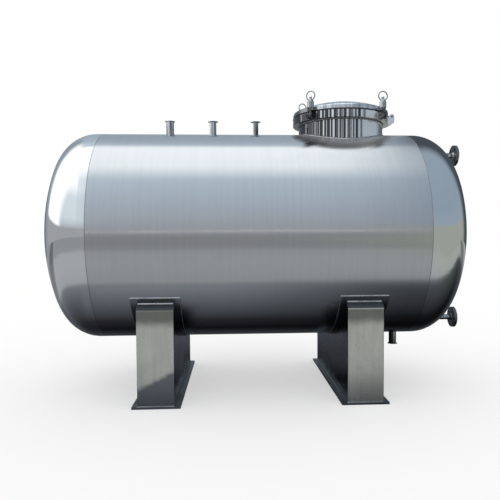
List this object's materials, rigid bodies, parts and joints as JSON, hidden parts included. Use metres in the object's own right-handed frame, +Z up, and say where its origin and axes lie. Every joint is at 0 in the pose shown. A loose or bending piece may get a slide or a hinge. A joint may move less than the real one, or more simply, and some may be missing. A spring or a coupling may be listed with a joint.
{
  "type": "horizontal pressure tank",
  "caption": "Horizontal stainless steel pressure tank with dished heads on two box saddles, with a manhole with swing bolts, clamp ferrules, a drain and level gauge nozzles.",
  "frame": {"origin": "on the floor, midway along the overall length and on the tank's centre plane", "axes": "+X along the tank towards the head with the gauge nozzles, +Y across it towards the back, +Z up"},
  "size_m": [2.0472, 1, 1.4658],
  "materials": {
    "brushed_shell": "satin, brushed round the shell",
    "polished_steel": "mirror polished stainless steel",
    "gasket_rubber": "matt black",
    "nozzle_steel": "polished tube",
    "flange_steel": "dark machined",
    "hardware_steel": "machined, slightly dull",
    "saddle_steel": "brushed plate"
  },
  "bodies": {
    "tank": {"shell": "brushed_shell", "head_left": "polished_steel", "head_right": "polished_steel", "manhole_neck": "polished_steel", "manhole_ring": "polished_steel", "manhole_lid": "polished_steel", "lid_hinge_pin": "polished_steel", "manhole_gasket": "gasket_rubber", "drain_ferrule": "nozzle_steel", "top_ferrule_large": "nozzle_steel", "top_ferrule_middle": "nozzle_steel", "top_ferrule_small": "nozzle_steel", "gauge_pipe_upper": "nozzle_steel", "gauge_pipe_lower": "nozzle_steel", "gauge_flange_upper": "flange_steel", "gauge_flange_lower": "flange_steel", "bolt_pin_front_left": "hardware_steel", "bolt_pin_front_right": "hardware_steel", "bolt_pin_back_left": "hardware_steel", "bolt_pin_back_right": "hardware_steel", "left_saddle_base_plate": "saddle_steel", "left_saddle_front_plate": "saddle_steel", "left_saddle_back_plate": "saddle_steel", "left_saddle_left_web": "saddle_steel", "left_saddle_right_web": "saddle_steel", "left_saddle_wear_plate": "saddle_steel", "right_saddle_base_plate": "saddle_steel", "right_saddle_front_plate": "saddle_steel", "right_saddle_back_plate": "saddle_steel", "right_saddle_left_web": "saddle_steel", "right_saddle_right_web": "saddle_steel", "right_saddle_wear_plate": "saddle_steel"},
    "bolt_front_left": {"swing_bolt_front_left": "hardware_steel", "eye_nut_front_left": "hardware_steel"},
    "bolt_front_right": {"swing_bolt_front_right": "hardware_steel", "eye_nut_front_right": "hardware_steel"},
    "bolt_back_left": {"swing_bolt_back_left": "hardware_steel", "eye_nut_back_left": "hardware_steel"},
    "bolt_back_right": {"swing_bolt_back_right": "hardware_steel", "eye_nut_back_right": "hardware_steel"}
  },
  "joints": [
    {"name": "swing_front_left", "type": "hinge", "parent": "tank", "child": "bolt_front_left", "pos_m": [0.24174, -0.18415, 1.32], "axis": [0.7193, -0.6947, 0], "range_deg": [0, 135]},
    {"name": "swing_front_right", "type": "hinge", "parent": "tank", "child": "bolt_front_right", "pos_m": [0.58752, -0.19321, 1.32], "axis": [0.7547, 0.6561, 0], "range_deg": [0, 135]},
    {"name": "swing_back_left", "type": "hinge", "parent": "tank", "child": "bolt_back_left", "pos_m": [0.25162, 0.19321, 1.32], "axis": [-0.7547, -0.6561, 0], "range_deg": [0, 135]},
    {"name": "swing_back_right", "type": "hinge", "parent": "tank", "child": "bolt_back_right", "pos_m": [0.5974, 0.18415, 1.32], "axis": [-0.7193, 0.6947, 0], "range_deg": [0, 135]}
  ]
}
